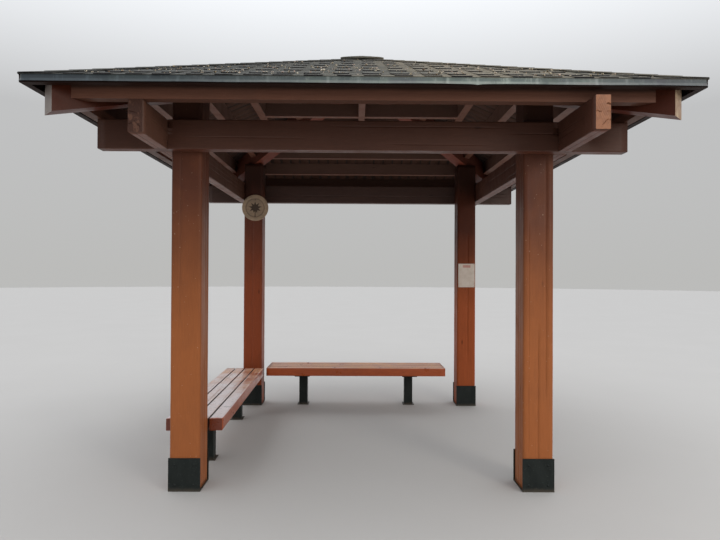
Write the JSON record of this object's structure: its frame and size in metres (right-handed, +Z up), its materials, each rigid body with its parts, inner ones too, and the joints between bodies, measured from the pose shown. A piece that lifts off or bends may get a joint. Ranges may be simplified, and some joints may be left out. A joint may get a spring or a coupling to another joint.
{
  "type": "garden pavilion",
  "caption": "Open square timber pavilion with a low pyramid shingle roof on posts in steel shoes, lapped beams, hip rafters, and plank benches along two sides.",
  "frame": {"origin": "on the ground, midway between the four posts", "axes": "+X to the right and +Y to the back as seen from the open front, +Z up"},
  "size_m": [4.044, 4.044, 3.6202],
  "materials": {
    "painted_timber": "red brown paint on laminated timber, satin, weathered",
    "deck_board": "red brown stained boards, matt",
    "plank": "red brown paint, worn",
    "black_steel": "black paint on steel, satin",
    "shingle": "mineral granules, matt",
    "edge_metal": "weathered grey paint, matt",
    "plaque_wood": "bare weathered wood",
    "notice_board": "white sheet, matt"
  },
  "bodies": {
    "root": {"beam_back": "painted_timber", "beam_front": "painted_timber", "beam_left": "painted_timber", "beam_right": "painted_timber", "bench_back_legs": "black_steel", "bench_back_planks": "plank", "bench_left_legs": "black_steel", "bench_left_planks": "plank", "collar_tie_across": "painted_timber", "collar_tie_along": "painted_timber", "drip_edges": "edge_metal", "eave_battens": "painted_timber", "eave_purlin_back": "painted_timber", "eave_purlin_front": "painted_timber", "eave_purlin_left": "painted_timber", "eave_purlin_right": "painted_timber", "hip_caps": "shingle", "hip_rafter_back_left": "painted_timber", "hip_rafter_back_right": "painted_timber", "hip_rafter_front_left": "painted_timber", "hip_rafter_front_right": "painted_timber", "notice_plate": "notice_board", "peak_cap": "shingle", "post_back_left": "painted_timber", "post_back_right": "painted_timber", "post_front_left": "painted_timber", "post_front_right": "painted_timber", "post_shoe_back_left": "black_steel", "post_shoe_back_right": "black_steel", "post_shoe_front_left": "black_steel", "post_shoe_front_right": "black_steel", "roof_deck_back": "deck_board", "roof_deck_front": "deck_board", "roof_deck_left": "deck_board", "roof_deck_right": "deck_board", "round_plaque": "plaque_wood", "shingles_back": "shingle", "shingles_front": "shingle", "shingles_left": "shingle", "shingles_right": "shingle", "slope_purlins_back": "painted_timber", "slope_purlins_front": "painted_timber", "slope_purlins_left": "painted_timber", "slope_purlins_right": "painted_timber"}
  },
  "joints": []
}
